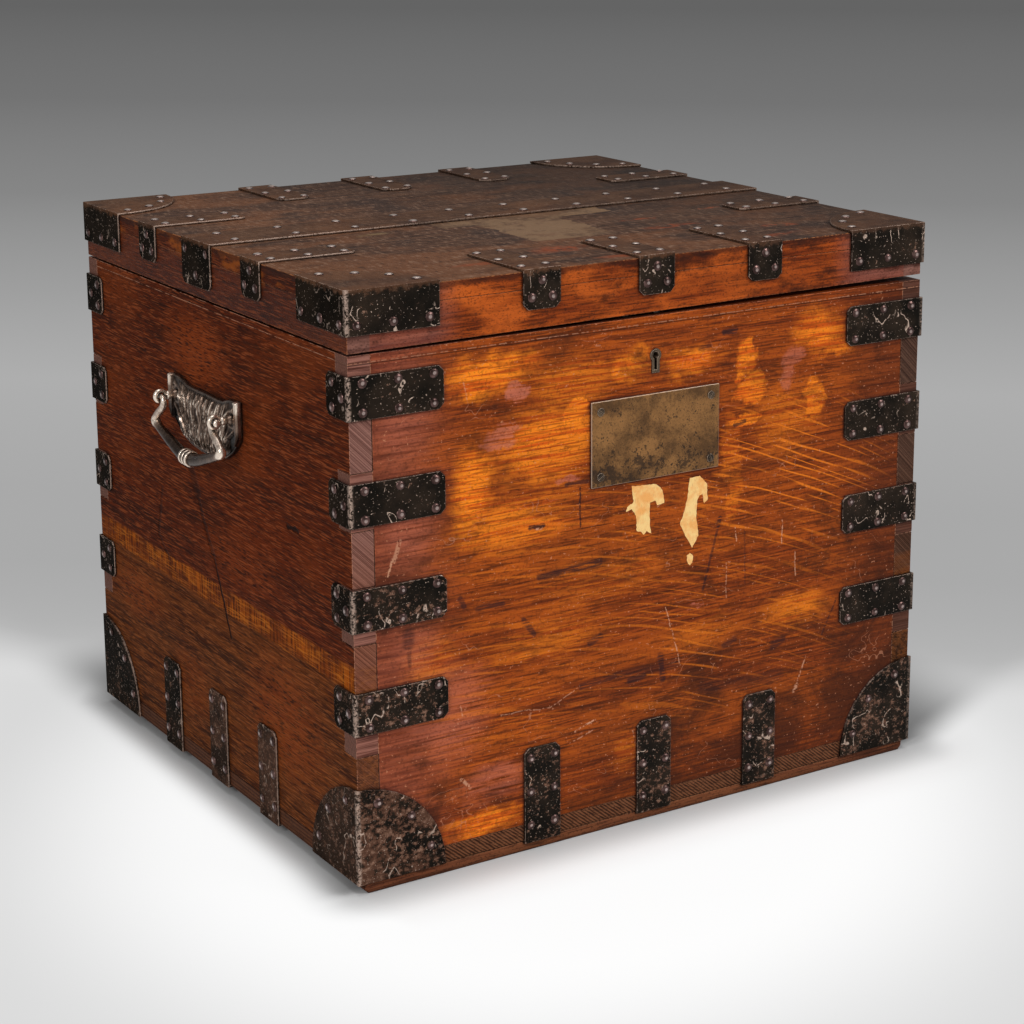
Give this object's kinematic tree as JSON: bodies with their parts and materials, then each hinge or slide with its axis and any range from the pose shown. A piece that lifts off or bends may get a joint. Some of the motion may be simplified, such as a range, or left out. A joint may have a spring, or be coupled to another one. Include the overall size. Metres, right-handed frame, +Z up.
{
  "type": "silver chest",
  "caption": "Oak storage chest bound with riveted iron straps, with a back-hinged lid, a box lock, a blank name plate and a drop handle on each side.",
  "frame": {"origin": "middle of the underside of the bounding box, on the plane that the runners stand on", "axes": "+X to the right along the front, +Y to the back where the hinges are, +Z up"},
  "size_m": [0.696, 0.5932, 0.5514],
  "materials": {
    "oak": "worn varnish, reddish brown oak with bright ray flecks",
    "lid_top_oak": "worn dull grey brown oak top",
    "japanned_iron": "black japanning, scratched and rust speckled",
    "cast_handle": "dark polished casting with bright high spots",
    "steel": "worn bare steel",
    "brass": "dull brass",
    "name_plate_brass": "dark toned brass, blank",
    "baize": "green baize"
  },
  "bodies": {
    "case": {"case_front": "oak", "case_back": "oak", "case_left": "oak", "case_right": "oak", "case_bottom": "oak", "runner_front": "oak", "runner_back": "oak", "baize_lining": "baize", "corner_strap_front_left_1": "japanned_iron", "corner_strap_front_left_2": "japanned_iron", "corner_strap_front_left_3": "japanned_iron", "corner_strap_front_left_4": "japanned_iron", "corner_strap_front_right_1": "japanned_iron", "corner_strap_front_right_2": "japanned_iron", "corner_strap_front_right_3": "japanned_iron", "corner_strap_front_right_4": "japanned_iron", "corner_strap_back_left_1": "japanned_iron", "corner_strap_back_left_2": "japanned_iron", "corner_strap_back_left_3": "japanned_iron", "corner_strap_back_left_4": "japanned_iron", "corner_strap_back_right_1": "japanned_iron", "corner_strap_back_right_2": "japanned_iron", "corner_strap_back_right_3": "japanned_iron", "corner_strap_back_right_4": "japanned_iron", "base_corner_front_left": "japanned_iron", "base_corner_front_right": "japanned_iron", "base_corner_back_left": "japanned_iron", "base_corner_back_right": "japanned_iron", "base_strap_cradle": "japanned_iron", "hinge_case_leaf_left": "japanned_iron", "hinge_case_leaf_right": "japanned_iron", "hinge_pin_left": "steel", "hinge_pin_right": "steel", "handle_plate_left": "cast_handle", "handle_plate_right": "cast_handle", "lock_case": "brass", "escutcheon": "brass", "name_plate": "name_plate_brass"},
    "lid": {"lid_frame": "oak", "lid_board_front": "lid_top_oak", "lid_board_back": "lid_top_oak", "lid_corner_front_left": "japanned_iron", "lid_corner_front_right": "japanned_iron", "lid_corner_back_left": "japanned_iron", "lid_corner_back_right": "japanned_iron", "lid_front_strap_left": "japanned_iron", "lid_front_strap_middle": "japanned_iron", "lid_front_strap_right": "japanned_iron", "lid_side_strap_left_front": "japanned_iron", "lid_side_strap_left_back": "japanned_iron", "lid_side_strap_right_front": "japanned_iron", "lid_side_strap_right_back": "japanned_iron", "lid_cross_strap": "japanned_iron", "lid_back_strap": "japanned_iron", "hinge_lid_leaf_left": "japanned_iron", "hinge_lid_leaf_right": "japanned_iron", "link_plate": "steel"},
    "left_bail": {"handle_bail_left": "cast_handle"},
    "right_bail": {"handle_bail_right": "cast_handle"},
    "lock_bolt": {"lock_bolt": "steel"}
  },
  "joints": [
    {"name": "lid_hinge", "type": "hinge", "parent": "case", "child": "lid", "pos_m": [0, 0.29065, 0.4932], "axis": [-1, 0, 0], "range_deg": [0, 100]},
    {"name": "left_bail_swing", "type": "hinge", "parent": "case", "child": "left_bail", "pos_m": [-0.34, -0.00415, 0.3908], "axis": [0, 1, 0], "range_deg": [-5, 170]},
    {"name": "right_bail_swing", "type": "hinge", "parent": "case", "child": "right_bail", "pos_m": [0.34, -0.00415, 0.3908], "axis": [0, -1, 0], "range_deg": [-5, 170]},
    {"name": "bolt_slide", "type": "slide", "parent": "case", "child": "lock_bolt", "axis": [1, 0, 0], "range_m": [0, 0.01]}
  ]
}
